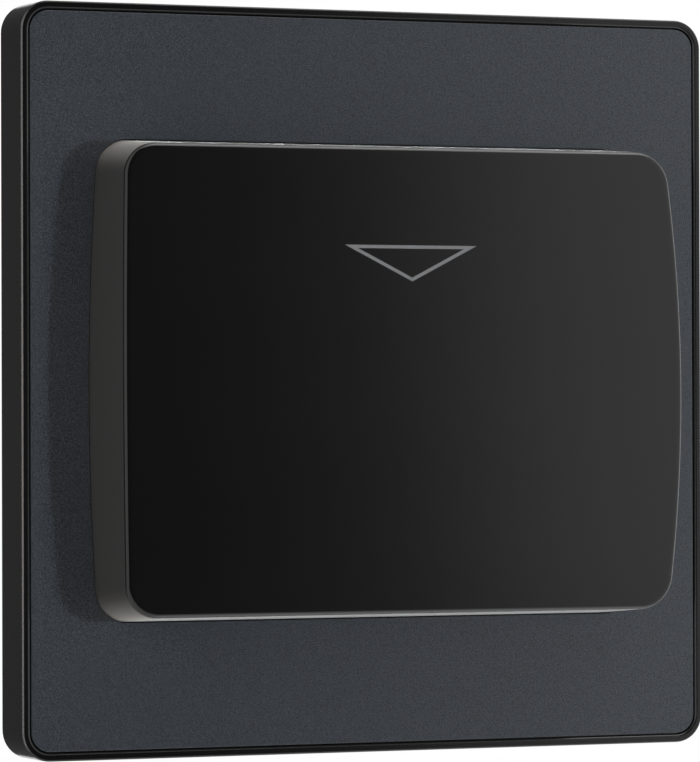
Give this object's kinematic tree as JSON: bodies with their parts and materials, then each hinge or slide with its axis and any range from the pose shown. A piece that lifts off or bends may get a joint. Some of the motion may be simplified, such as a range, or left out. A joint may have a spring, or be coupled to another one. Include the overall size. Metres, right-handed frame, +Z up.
{
  "type": "hotel key card switch",
  "caption": "Square wall-mounted key card switch: slate plate in a black frame, arched black card housing with a top slot, sprung card lever, microswitch, relay board and wire terminals.",
  "frame": {"origin": "centre of the frame's back face, on the wall plane", "axes": "+Y into the wall, so the front faces -Y; +Z up; +X to the right as seen from the front"},
  "size_m": [0.095, 0.0412, 0.095],
  "materials": {
    "frame_black": "satin moulded black plastic",
    "plate_slate": "fine-textured slate grey",
    "housing_black": "smooth gloss black plastic",
    "guide_black": "matt black plastic",
    "lever_ivory": "natural acetal",
    "zinc_steel": "zinc-plated steel",
    "spring_steel": "drawn spring wire",
    "switch_black": "matt black phenolic",
    "button_red": "smooth red plastic",
    "tinned_wire": "tinned wire",
    "board_green": "green solder mask",
    "relay_blue": "moulded blue plastic",
    "film_yellow": "moulded yellow plastic",
    "sleeve_blue": "shrunk plastic sleeve",
    "varistor_blue": "dipped blue resin",
    "chip_black": "matt black resin",
    "resistor_grey": "lacquered ceramic",
    "case_black": "spark-textured black plastic",
    "terminal_brass": "machined brass"
  },
  "bodies": {
    "base": {"wall_frame": "frame_black", "rear_case": "case_black", "case_screws": "zinc_steel", "circuit_board": "board_green", "relay": "relay_blue", "film_capacitor": "film_yellow", "smoothing_capacitor": "sleeve_blue", "varistor": "varistor_blue", "timer_chip": "chip_black", "power_resistor": "resistor_grey", "board_screws": "zinc_steel", "switch_case": "switch_black", "switch_leads": "tinned_wire", "terminal_cages": "terminal_brass", "terminal_screws": "zinc_steel", "lever_pin": "zinc_steel", "return_spring": "spring_steel"},
    "cover": {"front_plate": "plate_slate", "card_housing": "housing_black", "card_guide": "guide_black", "guide_screws": "zinc_steel"},
    "lever": {"card_lever": "lever_ivory"},
    "button": {"switch_button": "button_red"}
  },
  "joints": [
    {"name": "cover_pull", "type": "slide", "parent": "base", "child": "cover", "axis": [0, -1, 0], "range_m": [0, 0.03]},
    {"name": "lever_press", "type": "hinge", "parent": "base", "child": "lever", "pos_m": [0, -0.0068, -0.018], "axis": [1, 0, 0], "range_deg": [0, 20], "stiffness_Nm_per_rad": 0.012, "springref_deg": -11.46, "deforming": ["return_spring"]},
    {"name": "button_press", "type": "slide", "parent": "base", "child": "button", "axis": [0, 1, 0], "range_m": [0, 0.0016]}
  ],
  "couplings": [
    {"joint": "lever_press", "follows": "button_press", "rad_per_m": 218.1}
  ]
}
